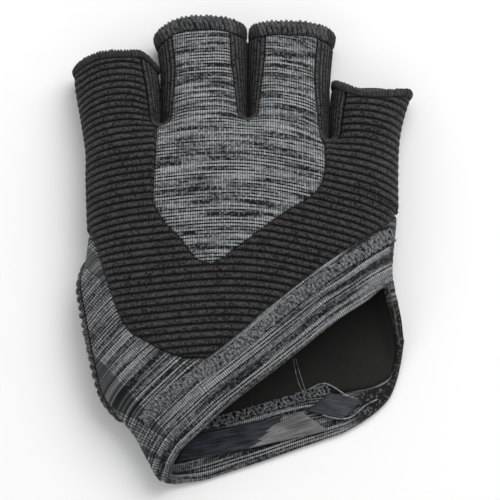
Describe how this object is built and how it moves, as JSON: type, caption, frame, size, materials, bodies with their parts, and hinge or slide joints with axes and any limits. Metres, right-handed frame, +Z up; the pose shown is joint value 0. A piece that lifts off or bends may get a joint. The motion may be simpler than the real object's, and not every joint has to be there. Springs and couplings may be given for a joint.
{
  "type": "lifting palm guard",
  "caption": "Fingerless training half glove with ribbed knit back, grey insert, wrist band, padded palm and a side thumb hole, lying palm down.",
  "frame": {"origin": "centre of the footprint at the resting plane, under the palm", "axes": "+X towards the little finger, +Y towards the finger mouths, +Z up through the back of the hand"},
  "size_m": [0.0992, 0.1386, 0.0261],
  "materials": {
    "black_knit": "rounded horizontal ribs, matt black knit",
    "grey_knit": "space-dyed grey and black fine wale knit",
    "grey_band": "double grey and black striped jersey",
    "black_foam": "smooth black foam-backed cloth",
    "gusset_knit": "fine black knit",
    "black_hem": "overlocked black edge",
    "grey_hem": "overlocked grey edge",
    "band_hem": "overlocked grey edge",
    "satin": "plain satin ribbon"
  },
  "bodies": {
    "root": {"back_panel": "black_knit", "back_insert": "grey_knit", "wrist_band": "grey_band", "palm_panel": "black_foam", "gusset_index_middle": "gusset_knit", "gusset_middle_ring": "gusset_knit", "gusset_ring_little": "gusset_knit", "hem_index": "black_hem", "hem_middle": "grey_hem", "hem_ring": "grey_hem", "hem_little": "black_hem", "thumb_hem": "band_hem", "care_label": "satin"}
  },
  "joints": []
}
